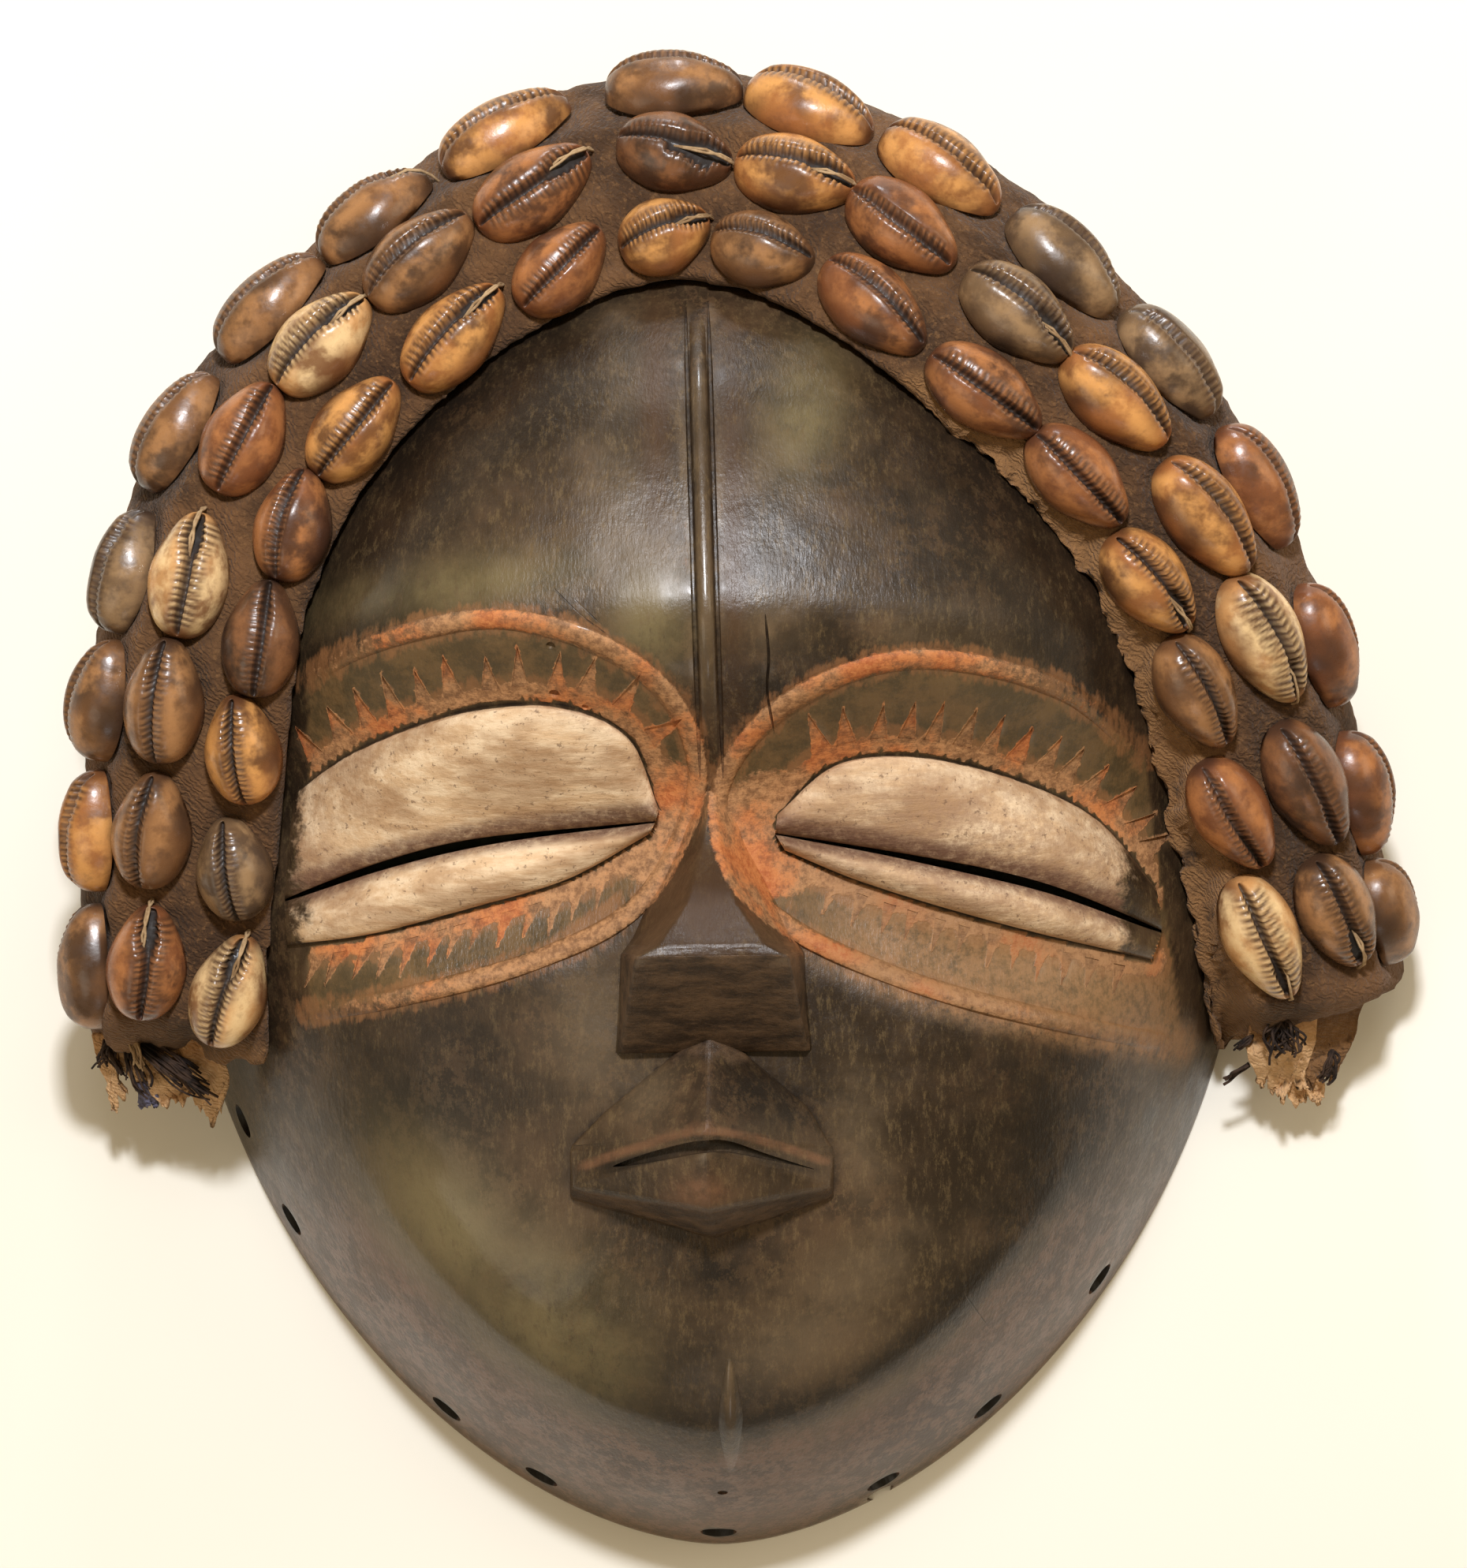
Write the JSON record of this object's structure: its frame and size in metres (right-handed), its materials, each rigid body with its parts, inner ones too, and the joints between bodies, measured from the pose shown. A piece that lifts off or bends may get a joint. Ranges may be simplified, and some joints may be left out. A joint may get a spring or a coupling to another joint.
{
  "type": "dan deangle mask",
  "caption": "Carved wooden face mask with narrow slit eyes, hollow at the back, with a padded cloth headband sewn with rows of cowrie shells.",
  "frame": {"origin": "centre of the whole mask's outline, on the plane that the wooden rim lies on", "axes": "+Z the way the face looks, +Y towards the forehead, +X towards the face's left cheek, which is on the right of the picture"},
  "size_m": [0.2302, 0.2528, 0.0869],
  "materials": {
    "wood": "dark brown-black carved wood with a worn, handled sheen, cream clay on the eyelids and orange-ochre stain in the eye bands",
    "cloth": "dark brown, dusty, matted cotton cloth over padding",
    "cowrie_shell": "cowrie shell stained brown, orange and cream by handling, with a soft polish",
    "frayed_cloth": "torn tan and brown cloth with loose threads"
  },
  "bodies": {
    "root": {"wooden_mask": "wood", "cloth_headband": "cloth", "cowrie_inner_01": "cowrie_shell", "cowrie_inner_02": "cowrie_shell", "cowrie_inner_03": "cowrie_shell", "cowrie_inner_04": "cowrie_shell", "cowrie_inner_05": "cowrie_shell", "cowrie_inner_06": "cowrie_shell", "cowrie_inner_07": "cowrie_shell", "cowrie_inner_08": "cowrie_shell", "cowrie_inner_09": "cowrie_shell", "cowrie_inner_10": "cowrie_shell", "cowrie_inner_11": "cowrie_shell", "cowrie_inner_12": "cowrie_shell", "cowrie_inner_13": "cowrie_shell", "cowrie_inner_14": "cowrie_shell", "cowrie_inner_15": "cowrie_shell", "cowrie_inner_16": "cowrie_shell", "cowrie_inner_17": "cowrie_shell", "cowrie_middle_01": "cowrie_shell", "cowrie_middle_02": "cowrie_shell", "cowrie_middle_03": "cowrie_shell", "cowrie_middle_04": "cowrie_shell", "cowrie_middle_05": "cowrie_shell", "cowrie_middle_06": "cowrie_shell", "cowrie_middle_07": "cowrie_shell", "cowrie_middle_08": "cowrie_shell", "cowrie_middle_09": "cowrie_shell", "cowrie_middle_10": "cowrie_shell", "cowrie_middle_11": "cowrie_shell", "cowrie_middle_12": "cowrie_shell", "cowrie_middle_13": "cowrie_shell", "cowrie_middle_14": "cowrie_shell", "cowrie_middle_15": "cowrie_shell", "cowrie_middle_16": "cowrie_shell", "cowrie_middle_17": "cowrie_shell", "cowrie_outer_01": "cowrie_shell", "cowrie_outer_02": "cowrie_shell", "cowrie_outer_03": "cowrie_shell", "cowrie_outer_04": "cowrie_shell", "cowrie_outer_05": "cowrie_shell", "cowrie_outer_06": "cowrie_shell", "cowrie_outer_07": "cowrie_shell", "cowrie_outer_08": "cowrie_shell", "cowrie_outer_09": "cowrie_shell", "cowrie_outer_10": "cowrie_shell", "cowrie_outer_11": "cowrie_shell", "cowrie_outer_12": "cowrie_shell", "cowrie_outer_13": "cowrie_shell", "cowrie_outer_14": "cowrie_shell", "cowrie_outer_15": "cowrie_shell", "cowrie_outer_16": "cowrie_shell", "cowrie_outer_17": "cowrie_shell", "frayed_end_left": "frayed_cloth", "frayed_end_right": "frayed_cloth"}
  },
  "joints": []
}
